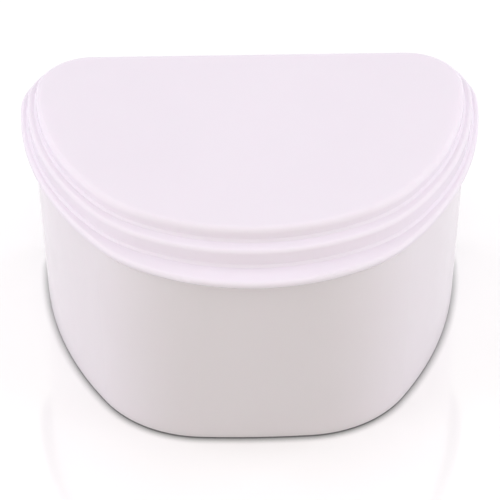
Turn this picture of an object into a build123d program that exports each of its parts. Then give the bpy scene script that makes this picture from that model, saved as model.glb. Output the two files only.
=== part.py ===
from build123d import *
from dataclasses import dataclass, replace
from math import cos, radians, sin, tan
import os

# A denture case: a deep D-shaped tub with a straight back and a flattened front, a stepped lid
# hinged along the straight back on two steel pins, and a lift-out strainer basket that hangs on
# ribs inside the tub. All sizes in millimetres. +X is to the user's right, -Y is the rounded
# front, +Z is up. The parts are modelled with Y = 0 on the lid rim's widest line and are moved
# at the end, so that the origin is under the middle of the whole case, on the table.

# Lid rim seen from above
RIM_WIDTH = 95.0
RIM_DEPTH = 74.9
RIM_BACK_CORNER = 15.0          # radius of the two back corners
RIM_FRONT_CORNER = 29.3         # radius where the sides turn into the front
RIM_SIDE_ANGLE = 129.8          # direction, clockwise from the back, where the side arc ends
RIM_FRONT_ANGLE = 150.4         # direction where the front corner arc ends

# The two steps on top of the rim, each set in from the one below
LOWER_STEP_SIDE = 1.65
LOWER_STEP_BACK = 3.75
LOWER_STEP_FRONT = 5.35
UPPER_STEP_SIDE = 1.85
UPPER_STEP_BACK = 2.65
UPPER_STEP_FRONT = 3.3

# The tub's wall under the rim
OVERHANG_SIDE = 2.4
OVERHANG_BACK = 2.75
OVERHANG_FRONT = 3.05
TUB_BACK_CORNER = 11.6
TUB_FRONT_CORNER = 25.8
TUB_SIDE_ANGLE = 123.6
TUB_FRONT_ANGLE = 176.5
TUB_DRAFT = 1.8                 # degrees, narrowing towards the base

# Heights
TUB_HEIGHT = 42.3
LID_SEAT_GAP = 0.1
RIM_THICKNESS = 1.55
LOWER_STEP_HEIGHT = 3.65
UPPER_STEP_HEIGHT = 2.85

# Walls and edges
TUB_WALL = 1.8
TUB_FLOOR = 1.8
FOOT_HEIGHT = 0.7
FOOT_WIDTH = 4.0
TUB_BASE_CHAMFER = 0.5
TUB_INNER_CHAMFER = 2.5
TUB_RIM_CHAMFER = 0.3
LID_WALL = 1.5
PLATE_EDGE = 1.2
STEP_EDGE = 0.8
STEP_ROOT_CHAMFER = 0.5
RIM_EDGE = 0.8
RIM_UNDER_CHAMFER = 0.45

# The lid's locating rib, which plugs into the tub along the sides and the front
PLUG_DEPTH = 2.4
PLUG_THICKNESS = 1.2
PLUG_CLEARANCE = 0.3
PLUG_BEAD = 0.15                # the closing bead stands this far out of the rib
PLUG_BEAD_HEIGHT = 0.8
PLUG_BACK_GAP = 24.0            # the rib stops this far in front of the hinge axis

# Ribs in the tub that carry the basket
SEAT_HEIGHT = 36.0
SEAT_RIB_DEPTH = 1.8
SEAT_RIB_THICKNESS = 1.6
SIDE_RIB_PITCH = 30.0
SIDE_RIB_MIDDLE = -11.0
END_RIB_PITCH = 36.0

# Strainer basket
BASKET_WALL = 1.4
BASKET_RIM_THICKNESS = 1.5
BASKET_RIM_CLEARANCE = 0.5
BASKET_SIDE_CLEARANCE = 0.6
BASKET_DRAFT = 3.0
BASKET_FLOOR_HEIGHT = 5.2       # underside of the basket's floor
BASKET_EDGE_CHAMFER = 2.0
SKID_WIDTH = 2.0                # two skids under the basket, for standing it on a table to drain
SKID_LENGTH = 30.0
SKID_GAP = 0.7                  # left under the skids while the basket hangs in the tub
SKID_COLUMN = 3                 # each skid lies just outside this column of slots
FLOOR_SLOT_WIDTH = 3.0
FLOOR_SLOT_LENGTH = 10.5
FLOOR_SLOT_PITCH_X = 7.2
FLOOR_SLOT_PITCH_Y = 13.5
FLOOR_SLOT_MARGIN = 4.0
WALL_SLOT_WIDTH = 3.0
WALL_SLOT_PITCH = 7.8
WALL_SLOT_MARGIN = 5.0          # solid wall left above and below each slot
SIDE_SLOT_MIDDLE = -12.5
SIDE_SLOT_PAIRS = 2
END_SLOT_PAIRS = 2
TAB_WIDTH = 16.0
TAB_RISE = 6.5
TAB_THICKNESS = 1.6
TAB_CORNER = 4.0
TAB_GRIP = 0.8                  # radius of the grip beads on the tabs

# Hinge
HINGE_INSET = 25.5              # from the middle of each hinge to the rim's widest line
HINGE_DROP = 2.75               # axis below the tub's rim
KNUCKLE_RADIUS = 2.2
END_KNUCKLE_LENGTH = 5.0
MIDDLE_KNUCKLE_LENGTH = 9.4
KNUCKLE_GAP = 0.3
PIN_RADIUS = 1.0
PIN_RUNNING_CLEARANCE = 0.06
PIN_END_CHAMFER = 0.25
STRAP_FORWARD = 1.6             # front face of the lid's strap ahead of the axis
STOP_RADIUS = 3.6               # tip of the stop tooth from the axis
STOP_WIDTH = 1.6
STOP_REST_ANGLE = 165.0         # where the tooth points with the lid shut, up from straight ahead
LID_OPEN_ANGLE = 115.0
STOP_GAP = 0.25
STOP_PAD_HEIGHT = 5.0


@dataclass(frozen=True)
class DShape:
    """A D outline: straight back, round corners, bowed sides and a curved front, all tangent."""

    half_width: float
    back: float
    front: float
    back_corner: float
    front_corner: float
    side_angle: float
    front_angle: float

    def inset(self, distance):
        return replace(
            self,
            half_width=self.half_width - distance,
            back=self.back - distance,
            front=self.front + distance,
            back_corner=self.back_corner - distance,
            front_corner=self.front_corner - distance,
        )

    def face(self, height):
        """The outline as a flat face at a height."""
        turn_1, turn_2 = radians(self.side_angle), radians(self.front_angle)
        corner_y = self.back - self.back_corner
        slope = (1 + cos(turn_2)) / sin(turn_2)
        reach = self.front - corner_y - self.front_corner * (cos(turn_2) - cos(turn_1))
        reach += slope * (self.half_width + self.front_corner * (sin(turn_2) - sin(turn_1)))
        side_radius = reach / (cos(turn_1) + slope * (1 - sin(turn_1)))

        def step(radius, turn):
            return Vector(radius * sin(turn), radius * cos(turn))

        corner_centre = Vector(self.half_width - self.back_corner, corner_y)
        side_centre = Vector(self.half_width - side_radius, corner_y)
        front_corner_centre = side_centre + step(side_radius - self.front_corner, turn_1)
        front_end = front_corner_centre + step(self.front_corner, turn_2)
        front_radius = front_end.X / sin(turn_2)
        front_centre = Vector(0, front_end.Y - front_radius * cos(turn_2))

        def arc(centre, radius, start, end):
            points = [centre + step(radius, turn) for turn in (start, (start + end) / 2, end)]
            return ThreePointArc(*points)

        quarter, half = radians(90), radians(180)
        right = [
            arc(corner_centre, self.back_corner, 0, quarter),
            arc(side_centre, side_radius, quarter, turn_1),
            arc(front_corner_centre, self.front_corner, turn_1, turn_2),
        ]
        left = [edge.mirror(Plane.YZ) for edge in right]
        back_line = Line((corner_centre.X, self.back), (-corner_centre.X, self.back))
        front_arc = arc(front_centre, front_radius, turn_2, 2 * half - turn_2)
        return Pos(0, 0, height) * make_face([back_line, front_arc] + right + left)

    def prism(self, bottom, top):
        return extrude(self.face(bottom), top - bottom)

    def tapered(self, top, bottom, draft):
        """A solid with this outline at its top, narrowing down to its bottom."""
        lower = self.inset((top - bottom) * tan(radians(draft)))
        return loft([lower.face(bottom), self.face(top)], ruled=True)


RIM_BOTTOM = TUB_HEIGHT + LID_SEAT_GAP
RIM_TOP = RIM_BOTTOM + RIM_THICKNESS
LEDGE_TOP = RIM_TOP + LOWER_STEP_HEIGHT
PLATE_TOP = LEDGE_TOP + UPPER_STEP_HEIGHT
TUB_FLOOR_TOP = FOOT_HEIGHT + TUB_FLOOR

RIM = DShape(
    half_width=RIM_WIDTH / 2,
    back=RIM_BACK_CORNER,
    front=RIM_BACK_CORNER - RIM_DEPTH,
    back_corner=RIM_BACK_CORNER,
    front_corner=RIM_FRONT_CORNER,
    side_angle=RIM_SIDE_ANGLE,
    front_angle=RIM_FRONT_ANGLE,
)
LEDGE = replace(
    RIM,
    half_width=RIM.half_width - LOWER_STEP_SIDE,
    back=RIM.back - LOWER_STEP_BACK,
    front=RIM.front + LOWER_STEP_FRONT,
    back_corner=RIM.back_corner - LOWER_STEP_SIDE,
)
PLATE = replace(
    LEDGE,
    half_width=LEDGE.half_width - UPPER_STEP_SIDE,
    back=LEDGE.back - UPPER_STEP_BACK,
    front=LEDGE.front + UPPER_STEP_FRONT,
    back_corner=LEDGE.back_corner - UPPER_STEP_SIDE,
)
TUB = DShape(
    half_width=RIM.half_width - OVERHANG_SIDE,
    back=RIM.back - OVERHANG_BACK,
    front=RIM.front + OVERHANG_FRONT,
    back_corner=TUB_BACK_CORNER,
    front_corner=TUB_FRONT_CORNER,
    side_angle=TUB_SIDE_ANGLE,
    front_angle=TUB_FRONT_ANGLE,
)
TUB_INSIDE = TUB.inset(TUB_WALL)
HINGE_Y = RIM.back
HINGE_Z = TUB_HEIGHT - HINGE_DROP
HINGE_CENTRES = (HINGE_INSET - RIM_WIDTH / 2, RIM_WIDTH / 2 - HINGE_INSET)
END_KNUCKLE_OFFSET = MIDDLE_KNUCKLE_LENGTH / 2 + KNUCKLE_GAP + END_KNUCKLE_LENGTH / 2
PIN_LENGTH = MIDDLE_KNUCKLE_LENGTH + 2 * (KNUCKLE_GAP + END_KNUCKLE_LENGTH)


def tub_at(height):
    """The tub's outside outline at a height."""
    return TUB.inset((TUB_HEIGHT - height) * tan(radians(TUB_DRAFT)))


def tub_inside_at(height):
    """The tub's inside outline at a height."""
    return tub_at(height).inset(TUB_WALL)


def edges_at(solid, height):
    return solid.edges().filter_by(lambda e: abs(e.center().Z - height) < 0.01).filter_by(
        lambda e: e.bounding_box().size.Z < 0.01
    )


def along_x(profile, centre, length):
    """A profile drawn in the YZ plane, extruded along X about a centre."""
    return Pos(centre - length / 2, 0, 0) * extrude(profile, length, dir=(1, 0, 0))


def hinge_section(shape):
    """A shape drawn with the hinge axis at its origin, first axis to the back, second up."""
    return Plane((0, HINGE_Y, HINGE_Z), x_dir=(0, 1, 0), z_dir=(1, 0, 0)) * shape


def pin_hole(centre, radius):
    return along_x(hinge_section(Circle(radius)), centre, PIN_LENGTH + 2 * KNUCKLE_GAP)


def seat_ribs():
    """Upright ribs on the tub's inside wall, level on top, that carry the basket's rim."""
    bottom = TUB_FLOOR_TOP - TUB_FLOOR / 2
    outer = tub_inside_at(SEAT_HEIGHT).inset(-TUB_WALL / 2)
    inner = tub_inside_at(SEAT_HEIGHT).inset(SEAT_RIB_DEPTH)
    band = outer.tapered(SEAT_HEIGHT, bottom, TUB_DRAFT) - inner.tapered(SEAT_HEIGHT, bottom, TUB_DRAFT)
    spokes = [
        Pos(0, SIDE_RIB_MIDDLE + offset, SEAT_HEIGHT / 2) * Box(RIM_WIDTH, SEAT_RIB_THICKNESS, SEAT_HEIGHT)
        for offset in (-SIDE_RIB_PITCH / 2, SIDE_RIB_PITCH / 2)
    ]
    spokes += [
        Pos(x, RIM.back - RIM_DEPTH / 2, SEAT_HEIGHT / 2) * Box(SEAT_RIB_THICKNESS, RIM_DEPTH, SEAT_HEIGHT)
        for x in (-END_RIB_PITCH / 2, END_RIB_PITCH / 2)
    ]
    return [band & spoke for spoke in spokes]


def tub_hinge(centre):
    """Two end knuckles on the tub's back wall, with the pad that stops the lid between them."""
    wall_y = TUB.back - TUB_WALL / 2 - HINGE_Y
    draft_slope = tan(radians(TUB_DRAFT))
    pad_top = -KNUCKLE_RADIUS - KNUCKLE_GAP
    pad_bottom = pad_top - STOP_PAD_HEIGHT
    web = Polygon(
        (wall_y, KNUCKLE_RADIUS),
        (0, KNUCKLE_RADIUS),
        (0, -KNUCKLE_RADIUS),
        (wall_y, pad_bottom),
        align=None,
    )
    knuckle = hinge_section(Circle(KNUCKLE_RADIUS) + web)
    solids = [
        along_x(knuckle, centre + side * END_KNUCKLE_OFFSET, END_KNUCKLE_LENGTH) for side in (-1, 1)
    ]
    open_angle = radians(STOP_REST_ANGLE + LID_OPEN_ANGLE)
    pad_face = -(STOP_RADIUS * cos(open_angle) - STOP_WIDTH / 2 * sin(open_angle) + STOP_GAP)
    pad = Polygon(
        (wall_y, pad_top),
        (pad_face, pad_top),
        (pad_face - (pad_top - pad_bottom) * draft_slope, pad_bottom),
        (wall_y - (pad_top - pad_bottom) * draft_slope, pad_bottom - STOP_GAP),
        align=None,
    )
    solids.append(along_x(hinge_section(pad), centre, PIN_LENGTH - END_KNUCKLE_LENGTH))
    return solids


def make_tub():
    outside = TUB.tapered(TUB_HEIGHT, 0, TUB_DRAFT)
    outside = chamfer(edges_at(outside, 0), TUB_BASE_CHAMFER)
    inside = TUB_INSIDE.tapered(TUB_HEIGHT, TUB_FLOOR_TOP, TUB_DRAFT)
    inside = chamfer(edges_at(inside, TUB_FLOOR_TOP), TUB_INNER_CHAMFER)
    recess = tub_at(0).inset(FOOT_WIDTH).prism(0, FOOT_HEIGHT)
    tub = outside - inside - recess
    tub = chamfer(edges_at(tub, TUB_HEIGHT), TUB_RIM_CHAMFER)
    for centre in HINGE_CENTRES:
        tub += tub_hinge(centre)
        tub -= pin_hole(centre, PIN_RADIUS)
    return tub + seat_ribs()


def on_outline(solid, shape, height):
    """The edges of a solid that lie on a D outline at a height."""
    middles = [edge.position_at(0.5) for edge in shape.face(height).edges()]
    return [e for e in solid.edges() if any((e.position_at(0.5) - m).length < 0.01 for m in middles)]


def stepped_block():
    """The lid's outside: the rim, the two steps and the plate, with their rounded edges."""
    block = RIM.prism(RIM_BOTTOM, RIM_TOP)
    block += LEDGE.prism(RIM_BOTTOM, LEDGE_TOP)
    block += PLATE.prism(RIM_BOTTOM, PLATE_TOP)
    block = chamfer(on_outline(block, LEDGE, RIM_TOP), STEP_ROOT_CHAMFER)
    block = chamfer(on_outline(block, PLATE, LEDGE_TOP), STEP_ROOT_CHAMFER)
    block = chamfer(on_outline(block, RIM, RIM_BOTTOM), RIM_UNDER_CHAMFER)
    block = fillet(on_outline(block, PLATE, PLATE_TOP), PLATE_EDGE)
    block = fillet(on_outline(block, LEDGE, LEDGE_TOP), STEP_EDGE)
    return fillet(on_outline(block, RIM, RIM_TOP), RIM_EDGE)


def plug_rib():
    """The rib inside the lid that plugs into the tub, open along the back for the hinge swing."""
    outer = TUB_INSIDE.inset(PLUG_CLEARANCE)
    inner = outer.inset(PLUG_THICKNESS)
    bottom = RIM_BOTTOM - PLUG_DEPTH
    bead_height = bottom + PLUG_BEAD_HEIGHT
    rib = outer.prism(bottom, PLATE_TOP)
    rib += outer.inset(-PLUG_BEAD).prism(bead_height, bead_height + PLUG_BEAD_HEIGHT)
    rib -= inner.prism(bottom, PLATE_TOP)
    back = HINGE_Y - PLUG_BACK_GAP
    keep = Pos(0, back - RIM_DEPTH / 2, PLATE_TOP / 2) * Box(RIM_WIDTH, RIM_DEPTH, PLATE_TOP)
    return rib & keep


def lid_hinge(centre):
    """The middle knuckle, its strap up to the rim, and the tooth that stops the lid."""
    rim_height = RIM_BOTTOM - HINGE_Z
    back = KNUCKLE_RADIUS * cos(radians(30))
    strap = Polygon(
        (-STRAP_FORWARD, 0),
        (0, -KNUCKLE_RADIUS / 2),
        (back, KNUCKLE_RADIUS / 2),
        (0, rim_height + RIM_THICKNESS * 0.75),
        (-STRAP_FORWARD, rim_height + RIM_THICKNESS / 2),
        align=None,
    )
    tooth = Rot(0, 0, 180 - STOP_REST_ANGLE) * Pos(STOP_RADIUS / 2, 0) * Rectangle(STOP_RADIUS, STOP_WIDTH)
    section = Circle(KNUCKLE_RADIUS) + strap + tooth
    return along_x(hinge_section(section), centre, MIDDLE_KNUCKLE_LENGTH)


def make_lid():
    outside = stepped_block()
    hollow = LEDGE.inset(LID_WALL).prism(RIM_BOTTOM, LEDGE_TOP - LID_WALL)
    hollow += PLATE.inset(LID_WALL).prism(RIM_BOTTOM, PLATE_TOP - LID_WALL)
    rib = plug_rib()
    below = RIM.prism(0, RIM_BOTTOM)
    lid = (outside - hollow) + (rib & outside) + (rib & below)
    for centre in HINGE_CENTRES:
        lid += lid_hinge(centre)
        lid -= pin_hole(centre, PIN_RADIUS + PIN_RUNNING_CLEARANCE)
    return lid


def slot_shape(width, length):
    """A slot with its corners cut off, lying along Y."""
    outline = Rectangle(width, length)
    return chamfer(outline.vertices(), width / 4)


def floor_slots(outline, bottom, top):
    """Rows of slots through the basket's floor, kept clear of its edge."""
    allowed = outline.inset(FLOOR_SLOT_MARGIN).face(bottom).faces()[0]
    middle_y = (outline.back + outline.front) / 2
    columns = int(outline.half_width / FLOOR_SLOT_PITCH_X)
    rows = int((outline.back - outline.front) / FLOOR_SLOT_PITCH_Y / 2)
    slot = slot_shape(FLOOR_SLOT_WIDTH, FLOOR_SLOT_LENGTH)
    cutters = []
    for column in range(-columns, columns + 1):
        for row in range(-rows, rows + 1):
            x = column * FLOOR_SLOT_PITCH_X
            y = middle_y + row * FLOOR_SLOT_PITCH_Y
            ends = [Vector(x, y + end * FLOOR_SLOT_LENGTH / 2, bottom) for end in (-1, 1)]
            if all(allowed.is_inside(point) for point in ends):
                cutters.append(extrude(Pos(x, y, bottom) * slot, top - bottom))
    return cutters


def wall_slots(outline, bottom, top):
    """Upright slots through the basket's two sides and through its front and back."""
    slot = slot_shape(WALL_SLOT_WIDTH, top - bottom)
    middle_z = (top + bottom) / 2
    width, depth = 2 * outline.half_width, outline.back - outline.front
    across = extrude(Plane.YZ * slot, width / 2, both=True)
    along = extrude(Plane.XZ * slot, depth / 2, both=True)
    sides = range(-SIDE_SLOT_PAIRS, SIDE_SLOT_PAIRS + 1)
    ends = range(-END_SLOT_PAIRS, END_SLOT_PAIRS + 1)
    cutters = [Pos(0, SIDE_SLOT_MIDDLE + n * WALL_SLOT_PITCH, middle_z) * across for n in sides]
    middle_y = (outline.back + outline.front) / 2
    cutters += [Pos(n * WALL_SLOT_PITCH, middle_y, middle_z) * along for n in ends]
    return cutters


def lift_tabs(outline, bottom, rim_top):
    """A rounded finger tab that rises from each side wall, with grip beads on its inside."""
    top = rim_top + TAB_RISE
    wall = outline.prism(bottom, top) - outline.inset(TAB_THICKNESS).prism(bottom, top)
    height = 2 * TAB_RISE
    profile = Pos(SIDE_RIB_MIDDLE, top - height / 2) * RectangleRounded(TAB_WIDTH, height, TAB_CORNER)
    tabs = wall & extrude(Plane.YZ * profile, RIM_WIDTH / 2, both=True)
    inner_x = max(v.X for v in tabs.vertices()) - TAB_THICKNESS
    bead = Rot(90, 0, 0) * Cylinder(TAB_GRIP, TAB_WIDTH - 2 * TAB_CORNER)
    for side in (-1, 1):
        for step in (1, 2):
            height = top - TAB_CORNER / 2 - (step - 1) * 3 * TAB_GRIP
            tabs += Pos(side * inner_x, SIDE_RIB_MIDDLE, height) * bead
    return tabs


def basket_skids(outline, bottom):
    """Two skids under the basket's floor, between its columns of slots."""
    height = bottom - TUB_FLOOR_TOP - SKID_GAP
    middle_y = (outline.back + outline.front) / 2
    skid = Pos(0, middle_y, bottom - height / 2) * Box(SKID_WIDTH, SKID_LENGTH, height)
    offset = (SKID_COLUMN + 1 / 2) * FLOOR_SLOT_PITCH_X
    return [Pos(side * offset) * skid for side in (-1, 1)]


def make_basket():
    rim_top = SEAT_HEIGHT + BASKET_RIM_THICKNESS
    inner_floor = BASKET_FLOOR_HEIGHT + BASKET_WALL
    seat = tub_inside_at(SEAT_HEIGHT)
    outline = seat.inset(SEAT_RIB_DEPTH + BASKET_SIDE_CLEARANCE)
    floor_outline = outline.inset((rim_top - BASKET_FLOOR_HEIGHT) * tan(radians(BASKET_DRAFT)))
    outside = outline.tapered(rim_top, BASKET_FLOOR_HEIGHT, BASKET_DRAFT)
    outside = chamfer(edges_at(outside, BASKET_FLOOR_HEIGHT), BASKET_EDGE_CHAMFER)
    inside = outline.inset(BASKET_WALL).tapered(rim_top, inner_floor, BASKET_DRAFT)
    inside = chamfer(edges_at(inside, inner_floor), BASKET_EDGE_CHAMFER)
    rim = seat.inset(BASKET_RIM_CLEARANCE).prism(SEAT_HEIGHT, rim_top)
    basket = outside + rim - inside
    basket -= floor_slots(floor_outline, BASKET_FLOOR_HEIGHT, inner_floor)
    basket -= wall_slots(outline, inner_floor + WALL_SLOT_MARGIN, SEAT_HEIGHT - WALL_SLOT_MARGIN)
    basket += basket_skids(floor_outline, BASKET_FLOOR_HEIGHT)
    return basket + lift_tabs(outline, SEAT_HEIGHT, rim_top)


def make_pin(centre):
    pin = along_x(hinge_section(Circle(PIN_RADIUS)), centre, PIN_LENGTH)
    return chamfer(pin.edges().filter_by(GeomType.CIRCLE), PIN_END_CHAMFER)


def main():
    parts = {
        "tub": make_tub(),
        "lid": make_lid(),
        "strainer_basket": make_basket(),
        "left_hinge_pin": make_pin(HINGE_CENTRES[0]),
        "right_hinge_pin": make_pin(HINGE_CENTRES[1]),
    }
    boxes = [part.bounding_box() for part in parts.values()]
    middle_y = (min(box.min.Y for box in boxes) + max(box.max.Y for box in boxes)) / 2
    os.makedirs("parts", exist_ok=True)
    for name, part in parts.items():
        export_step(Pos(0, -middle_y, 0) * part, f"parts/{name}.step")
    print(f"hinge axis at y {HINGE_Y - middle_y:.3f}, z {HINGE_Z:.3f}")


main()
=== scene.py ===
from math import cos, radians, sin

import bpy
from mathutils import Matrix, Vector


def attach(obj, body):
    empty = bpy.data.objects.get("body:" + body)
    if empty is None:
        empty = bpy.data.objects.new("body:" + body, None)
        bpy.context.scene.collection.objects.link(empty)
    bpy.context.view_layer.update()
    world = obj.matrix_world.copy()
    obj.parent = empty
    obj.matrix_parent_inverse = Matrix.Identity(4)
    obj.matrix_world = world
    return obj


# A white moulded denture case: tub, hinged stepped lid and strainer basket come from the frame and
# get their finishes here. The small round marks that the mould leaves are modelled here, and the
# case stands on a plain white floor under soft studio light. Lengths are in metres.

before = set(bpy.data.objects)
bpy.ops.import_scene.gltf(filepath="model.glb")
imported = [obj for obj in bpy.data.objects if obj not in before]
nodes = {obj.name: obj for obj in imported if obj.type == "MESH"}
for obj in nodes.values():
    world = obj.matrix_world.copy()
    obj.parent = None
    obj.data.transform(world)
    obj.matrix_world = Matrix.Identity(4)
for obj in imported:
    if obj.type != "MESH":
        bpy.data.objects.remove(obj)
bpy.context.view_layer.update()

# Camera, as seen in the photograph
CAMERA_ELEVATION = radians(38.54)
CAMERA_TURN = radians(-1.19)        # round the vertical, from straight ahead
CAMERA_ROLL = radians(-0.15)
CAMERA_DISTANCE = 0.61595
CAMERA_FIELD = radians(10.0)
CAMERA_TARGET = Vector((-0.00003, 0.01847, 0.0063))

# Plastics: base colour, and how rough the moulded skin is
LID_WHITE = (0.865, 0.80, 0.885)
TUB_WHITE = (0.86, 0.80, 0.85)
BASKET_WHITE = (0.84, 0.81, 0.84)
STEEL = (0.60, 0.60, 0.62)
GLOW = 0.3                          # share of light that soaks into the milky plastic
GLOW_REACH = (0.0026, 0.0022, 0.0024)
SPECULAR_LEVEL = 0.3

# Faces of the walls that carry the mould's marks
LID_UNDERSIDE = 0.04895
TUB_FLOOR_TOP = 0.0025
TUB_UNDERSIDE = 0.0007
BASKET_UNDERSIDE = 0.0052
EJECTOR_RADIUS = 0.0025
EJECTOR_HEIGHT = 0.0003
EJECTOR_PLACES = ((-0.024, 0.016), (0.024, 0.016), (-0.019, -0.017), (0.019, -0.017))
GATE_RADIUS = 0.0011
GATE_HEIGHT = 0.0007
BASKET_GATE_HEIGHT = 0.0005
BASKET_GATE_X = 0.0036              # between two columns of the basket's slots
MARK_SIDES = 40
UP, DOWN = 1, -1                    # the way a mark looks

# Studio
FLOOR_SIZE = 4.0
FLOOR_GREY = 0.40                   # as it lights the case
FLOOR_WHITE = 0.95                  # as it is seen
FLOOR_LIFT = 0.09                   # what it gives off where it is seen
FLOOR_FAR_LIFT = 0.35               # the same, out where the lamps don't reach
FLOOR_NEAR, FLOOR_FAR = 0.30, 0.55  # between these distances one turns into the other
FLOOR_ROUGHNESS = 0.08
FLOOR_IOR = 2.3
PAINTED_SHADOW_REACH = 0.0023               # painted contact shadow: the floor's colour darkens this near to the case's foot
PAINTED_SHADOW_SHADE = 0.04
PAINTED_SHADOW_DARK, PAINTED_SHADOW_CLEAR = 0.3, 0.9    # open share of the sky where the painted shadow is darkest, and where it clears
LAMP_AIM = Vector((0, 0, 0.03))
TOP_PLACE = (0.0, 0.10, 0.80)
LEFT_PLACE = (-0.80, 0.0, 0.34)
RIGHT_PLACE = (0.80, 0.0, 0.34)
FRONT_PLACE = (0.0, -0.95, 0.50)
LARGE_LAMP = (0.9, 0.9)             # width and height
FRONT_LAMP = (0.8, 0.5)
AMBIENT = 0.52
TOP_LIGHT = 1.16
LEFT_LIGHT = 4.66
RIGHT_LIGHT = 4.5
FRONT_LIGHT = 2.43
WHITE = (1.0, 1.0, 1.0)
AMBIENT_TINT = (1.0, 0.98, 0.965)
TOP_TINT = (0.98, 0.935, 1.0)
SIDE_TINT = (0.94, 0.915, 1.0)
FRONT_TINT = (1.0, 0.975, 0.735)


def to_edit_nothing():
    """Leaves nothing selected, so the next operator acts on its own new piece alone."""
    bpy.ops.object.select_all(action="DESELECT")


def new_group(name, inputs, outputs):
    """An empty shader node group with its sockets; returns the group and its two end nodes."""
    group = bpy.data.node_groups.new(name, "ShaderNodeTree")
    for socket, kind, value in inputs:
        made = group.interface.new_socket(socket, in_out="INPUT", socket_type=kind)
        if value is not None:
            made.default_value = value
    for socket, kind in outputs:
        group.interface.new_socket(socket, in_out="OUTPUT", socket_type=kind)
    return group, group.nodes.new("NodeGroupInput"), group.nodes.new("NodeGroupOutput")


def noise(tree, place, scale, detail, roughness=0.5):
    node = tree.nodes.new("ShaderNodeTexNoise")
    node.inputs["Scale"].default_value = scale
    node.inputs["Detail"].default_value = detail
    node.inputs["Roughness"].default_value = roughness
    tree.links.new(place, node.inputs["Vector"])
    return node.outputs["Fac"]


def ramp(tree, value, low, high, out_low=0.0, out_high=1.0):
    """Maps a value's low..high range to another range, held at both ends."""
    node = tree.nodes.new("ShaderNodeMapRange")
    tree.links.new(value, node.inputs["Value"])
    node.inputs["From Min"].default_value = low
    node.inputs["From Max"].default_value = high
    node.inputs["To Min"].default_value = out_low
    node.inputs["To Max"].default_value = out_high
    return node.outputs["Result"]


def math_node(tree, operation, first, second):
    node = tree.nodes.new("ShaderNodeMath")
    node.operation = operation
    for socket, value in zip(node.inputs, (first, second)):
        if isinstance(value, (int, float)):
            socket.default_value = value
        else:
            tree.links.new(value, socket)
    return node.outputs[0]


def mixed_colour(tree, factor, first, second):
    node = tree.nodes.new("ShaderNodeMix")
    node.data_type = "RGBA"
    tree.links.new(factor, node.inputs["Factor"])
    for socket, value in ((node.inputs[6], first), (node.inputs[7], second)):
        if isinstance(value, tuple):
            socket.default_value = (*value, 1.0)
        else:
            tree.links.new(value, socket)
    return node.outputs[2]


def moulded_skin_group():
    """The skin of polished injection-moulded plastic: slight flow clouds, smudges and ripple."""
    group, start, end = new_group(
        "moulded_skin",
        [("Position", "NodeSocketVector", None), ("Ripple", "NodeSocketFloat", 0.3)],
        [(socket, "NodeSocketFloat") for socket in ("Clouds", "Smudges", "Height")],
    )
    place = start.outputs["Position"]
    clouds = ramp(group, noise(group, place, 32.0, 2.0), 0.35, 0.65)
    smudges = ramp(group, noise(group, place, 75.0, 4.0, 0.6), 0.42, 0.72)
    peel = noise(group, place, 420.0, 2.0)
    height = math_node(group, "MULTIPLY", peel, start.outputs["Ripple"])
    group.links.new(clouds, end.inputs["Clouds"])
    group.links.new(smudges, end.inputs["Smudges"])
    group.links.new(height, end.inputs["Height"])
    return group


def rubbed_scratches_group():
    """Fine hairline scratches from wiping and from standing on shelves, as a mask."""
    group, start, end = new_group(
        "rubbed_scratches",
        [("Position", "NodeSocketVector", None), ("Amount", "NodeSocketFloat", 0.5)],
        [("Scratches", "NodeSocketFloat")],
    )
    place = start.outputs["Position"]
    lines = []
    for squeeze, turn in (((1.0, 0.02, 0.02), 0.5), ((0.025, 1.0, 0.025), -0.3)):
        mapping = group.nodes.new("ShaderNodeMapping")
        mapping.vector_type = "TEXTURE"
        mapping.inputs["Scale"].default_value = squeeze
        mapping.inputs["Rotation"].default_value = (0, 0, turn)
        group.links.new(place, mapping.inputs["Vector"])
        lines.append(ramp(group, noise(group, mapping.outputs["Vector"], 150.0, 1.0), 0.66, 0.78))
    mask = math_node(group, "MAXIMUM", *lines)
    scaled = math_node(group, "MULTIPLY", mask, start.outputs["Amount"])
    group.links.new(scaled, end.inputs["Scratches"])
    return group


MOULDED_SKIN = moulded_skin_group()
RUBBED_SCRATCHES = rubbed_scratches_group()


def place_group(tree, group, position, **values):
    node = tree.nodes.new("ShaderNodeGroup")
    node.node_tree = group
    tree.links.new(position, node.inputs["Position"])
    for socket, value in values.items():
        node.inputs[socket].default_value = value
    return node


def plastic(name, colour, cloud_shade, polished, worn, ripple, scratches):
    """White moulded plastic. Roughness runs from polished to worn over smudges and scratches."""
    material = bpy.data.materials.new(name)
    material.use_nodes = True
    tree = material.node_tree
    shader = tree.nodes["Principled BSDF"]
    shader.inputs["IOR"].default_value = 1.49
    shader.inputs["Specular IOR Level"].default_value = SPECULAR_LEVEL
    shader.inputs["Subsurface Weight"].default_value = GLOW
    shader.inputs["Subsurface Radius"].default_value = GLOW_REACH
    shader.inputs["Subsurface Scale"].default_value = 1.0
    position = tree.nodes.new("ShaderNodeTexCoord").outputs["Object"]
    skin = place_group(tree, MOULDED_SKIN, position, Ripple=ripple)
    rubbed = place_group(tree, RUBBED_SCRATCHES, position, Amount=scratches)
    clouded = tuple(c * cloud_shade for c in colour)
    tint = mixed_colour(tree, skin.outputs["Clouds"], colour, clouded)
    tree.links.new(tint, shader.inputs["Base Color"])
    marks = math_node(tree, "MAXIMUM", skin.outputs["Smudges"], rubbed.outputs["Scratches"])
    tree.links.new(ramp(tree, marks, 0.0, 1.0, polished, worn), shader.inputs["Roughness"])
    bump = tree.nodes.new("ShaderNodeBump")
    bump.inputs["Strength"].default_value = 0.2
    bump.inputs["Distance"].default_value = 0.00005
    tree.links.new(skin.outputs["Height"], bump.inputs["Height"])
    tree.links.new(bump.outputs["Normal"], shader.inputs["Normal"])
    return material


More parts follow.
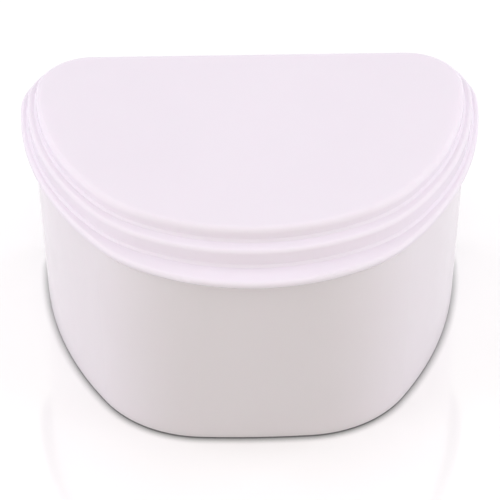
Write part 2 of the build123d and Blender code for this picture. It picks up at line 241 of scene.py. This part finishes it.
def drawn_wire(name, colour):
    """Stainless wire, drawn lengthwise through a die, so its fine lines run along X."""
    material = bpy.data.materials.new(name)
    material.use_nodes = True
    tree = material.node_tree
    shader = tree.nodes["Principled BSDF"]
    shader.inputs["Metallic"].default_value = 1.0
    position = tree.nodes.new("ShaderNodeTexCoord").outputs["Object"]
    mapping = tree.nodes.new("ShaderNodeMapping")
    mapping.inputs["Scale"].default_value = (0.06, 1.0, 1.0)
    tree.links.new(position, mapping.inputs["Vector"])
    lines = noise(tree, mapping.outputs["Vector"], 6000.0, 2.0)
    dark = tuple(c * 0.7 for c in colour)
    tree.links.new(mixed_colour(tree, lines, dark, colour), shader.inputs["Base Color"])
    tree.links.new(ramp(tree, lines, 0.3, 0.7, 0.22, 0.4), shader.inputs["Roughness"])
    bump = tree.nodes.new("ShaderNodeBump")
    bump.inputs["Strength"].default_value = 0.3
    bump.inputs["Distance"].default_value = 0.00002
    tree.links.new(lines, bump.inputs["Height"])
    tree.links.new(bump.outputs["Normal"], shader.inputs["Normal"])
    return material


FINISHES = {
    "tub": plastic(
        "tub_plastic", TUB_WHITE,
        cloud_shade=0.985, polished=0.21, worn=0.26, ripple=0.5, scratches=0.3,
    ),
    "lid": plastic(
        "lid_plastic", LID_WHITE,
        cloud_shade=0.985, polished=0.19, worn=0.25, ripple=0.5, scratches=0.3,
    ),
    "basket": plastic(
        "basket_plastic", BASKET_WHITE,
        cloud_shade=0.98, polished=0.34, worn=0.45, ripple=0.8, scratches=0.4,
    ),
}
NODE_FINISHES = {"tub": "tub", "lid": "lid", "strainer_basket": "basket"}
PIN_STEEL = drawn_wire("hinge_pin_steel", STEEL)


def dress_frame():
    for name, node in nodes.items():
        body = NODE_FINISHES.get(name)
        for slot in node.material_slots:
            slot.material = FINISHES[body] if body else PIN_STEEL


def select_faces(piece, wanted):
    """Selects the faces for which wanted(face) holds, and no other, and enters edit mode."""
    bpy.ops.object.mode_set(mode="OBJECT")
    for part in (piece.data.vertices, piece.data.edges, piece.data.polygons):
        part.foreach_set("select", [False] * len(part))
    for face in piece.data.polygons:
        face.select = wanted(face)
    bpy.ops.object.mode_set(mode="EDIT")
    bpy.ops.mesh.select_mode(type="FACE")


def mould_mark(name, body, place, radius, height, facing):
    """A low round mark on a level wall face: a disc with a soft rim and a dished middle.

    It is sunk to half its height in the wall, and facing is UP or DOWN.
    """
    bpy.ops.mesh.primitive_cylinder_add(
        vertices=MARK_SIDES, radius=radius, depth=height, location=place
    )
    mark = bpy.context.object
    mark.name = name
    bpy.ops.object.transform_apply(location=True)
    select_faces(mark, lambda face: face.normal.z * facing > 0.9)
    bpy.ops.mesh.bevel(offset=height * 0.3, segments=2, affect="EDGES")
    select_faces(mark, lambda face: face.normal.z * facing > 0.99 and face.area > radius ** 2)
    bpy.ops.mesh.inset(thickness=radius * 0.25, depth=0)
    bpy.ops.mesh.inset(thickness=radius * 0.08, depth=-height * 0.3)
    bpy.ops.object.mode_set(mode="OBJECT")
    bpy.ops.object.shade_smooth_by_angle(angle=radians(50))
    mark.data.materials.append(FINISHES[body])
    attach(mark, body)
    to_edit_nothing()


def make_mould_marks():
    """Ejector marks inside the lid and the tub, and the gate where each piece was filled."""
    ejector = (EJECTOR_RADIUS, EJECTOR_HEIGHT)
    for number, (x, y) in enumerate(EJECTOR_PLACES, 1):
        mould_mark(f"lid_ejector_mark_{number}", "lid", (x, y, LID_UNDERSIDE), *ejector, DOWN)
        mould_mark(f"tub_ejector_mark_{number}", "tub", (x, y, TUB_FLOOR_TOP), *ejector, UP)
    gate = (GATE_RADIUS, GATE_HEIGHT)
    mould_mark("lid_gate_mark", "lid", (0, 0, LID_UNDERSIDE), *gate, DOWN)
    mould_mark("tub_gate_mark", "tub", (0, 0, TUB_UNDERSIDE), *gate, DOWN)
    basket_gate_place = (BASKET_GATE_X, 0, BASKET_UNDERSIDE)
    basket_gate = (GATE_RADIUS, BASKET_GATE_HEIGHT)
    mould_mark("basket_gate_mark", "basket", basket_gate_place, *basket_gate, DOWN)


def sight_mask(tree):
    """One for rays that see or mirror the surroundings, nought for those that light the case."""
    path = tree.nodes.new("ShaderNodeLightPath")
    seen = math_node(tree, "MAXIMUM", path.outputs["Is Camera Ray"], path.outputs["Is Glossy Ray"])
    return math_node(tree, "MAXIMUM", seen, path.outputs["Is Transmission Ray"])


def make_floor():
    """A glossy sheet: dim as it lights the case, white where seen, with a painted contact shadow
    that darkens its colour near the case's foot.
    """
    bpy.ops.mesh.primitive_plane_add(size=FLOOR_SIZE)
    floor = bpy.context.object
    floor.name = "studio_floor"
    material = bpy.data.materials.new("white_paper_floor")
    material.use_nodes = True
    tree = material.node_tree
    shader = tree.nodes["Principled BSDF"]
    sight = sight_mask(tree)
    # Painted contact shadow: ambient occlusion near the case's foot darkens the floor's colour.
    shadow_ao = tree.nodes.new("ShaderNodeAmbientOcclusion")
    shadow_ao.inputs["Distance"].default_value = PAINTED_SHADOW_REACH
    painted_contact_shadow = ramp(tree, shadow_ao.outputs["AO"], PAINTED_SHADOW_DARK, PAINTED_SHADOW_CLEAR, PAINTED_SHADOW_SHADE, 1.0)
    albedo = ramp(tree, sight, 0.0, 1.0, FLOOR_GREY, FLOOR_WHITE)
    shade = math_node(tree, "MULTIPLY", albedo, painted_contact_shadow)
    tree.links.new(shade, shader.inputs["Base Color"])
    shader.inputs["Roughness"].default_value = FLOOR_ROUGHNESS
    shader.inputs["IOR"].default_value = FLOOR_IOR
    shader.inputs["Emission Color"].default_value = (1, 1, 1, 1)
    distance = tree.nodes.new("ShaderNodeVectorMath")
    distance.operation = "LENGTH"
    position = tree.nodes.new("ShaderNodeTexCoord").outputs["Object"]
    tree.links.new(position, distance.inputs[0])
    lift = ramp(tree, distance.outputs["Value"], FLOOR_NEAR, FLOOR_FAR, FLOOR_LIFT, FLOOR_FAR_LIFT)
    tree.links.new(math_node(tree, "MULTIPLY", sight, lift), shader.inputs["Emission Strength"])
    floor.data.materials.append(material)
    to_edit_nothing()


def make_world():
    world = bpy.data.worlds.new("studio_room")
    bpy.context.scene.world = world
    world.use_nodes = True
    tree = world.node_tree
    background = tree.nodes["Background"]
    sight = sight_mask(tree)
    tree.links.new(mixed_colour(tree, sight, AMBIENT_TINT, WHITE), background.inputs["Color"])
    tree.links.new(ramp(tree, sight, 0.0, 1.0, AMBIENT, 1.0), background.inputs["Strength"])


def softbox(name, place, size, power, colour):
    """A rectangular lamp that faces the case, out of sight of the gloss, which mirrors the room."""
    lamp = bpy.data.lights.new(name, "AREA")
    lamp.shape = "RECTANGLE"
    lamp.size, lamp.size_y = size
    lamp.energy = power
    lamp.color = colour
    holder = bpy.data.objects.new(name, lamp)
    bpy.context.scene.collection.objects.link(holder)
    holder.location = place
    aim = LAMP_AIM - Vector(place)
    holder.rotation_euler = aim.to_track_quat("-Z", "Y").to_euler()
    holder.visible_glossy = False


def make_lamps():
    softbox("top_softbox", TOP_PLACE, LARGE_LAMP, TOP_LIGHT, TOP_TINT)
    softbox("left_softbox", LEFT_PLACE, LARGE_LAMP, LEFT_LIGHT, SIDE_TINT)
    softbox("right_softbox", RIGHT_PLACE, LARGE_LAMP, RIGHT_LIGHT, SIDE_TINT)
    softbox("front_softbox", FRONT_PLACE, FRONT_LAMP, FRONT_LIGHT, FRONT_TINT)


def make_camera():
    """Looks at the target from the photograph's elevation, turn and roll."""
    back = Vector((
        sin(CAMERA_TURN) * cos(CAMERA_ELEVATION),
        -cos(CAMERA_TURN) * cos(CAMERA_ELEVATION),
        sin(CAMERA_ELEVATION),
    ))
    right = Vector((cos(CAMERA_TURN), sin(CAMERA_TURN), 0))
    up = back.cross(right)
    rolled_right = right * cos(CAMERA_ROLL) + up * sin(CAMERA_ROLL)
    rolled_up = back.cross(rolled_right)
    camera = bpy.data.cameras.new("camera")
    camera.angle = CAMERA_FIELD
    camera.clip_end = 20
    holder = bpy.data.objects.new("camera", camera)
    bpy.context.scene.collection.objects.link(holder)
    turn = Matrix((rolled_right, rolled_up, back)).transposed().to_4x4()
    holder.matrix_world = Matrix.Translation(CAMERA_TARGET + back * CAMERA_DISTANCE) @ turn
    bpy.context.scene.camera = holder


to_edit_nothing()
make_camera()
make_world()
make_lamps()
make_floor()
dress_frame()
make_mould_marks()
bpy.context.scene.view_settings.view_transform = "Standard"
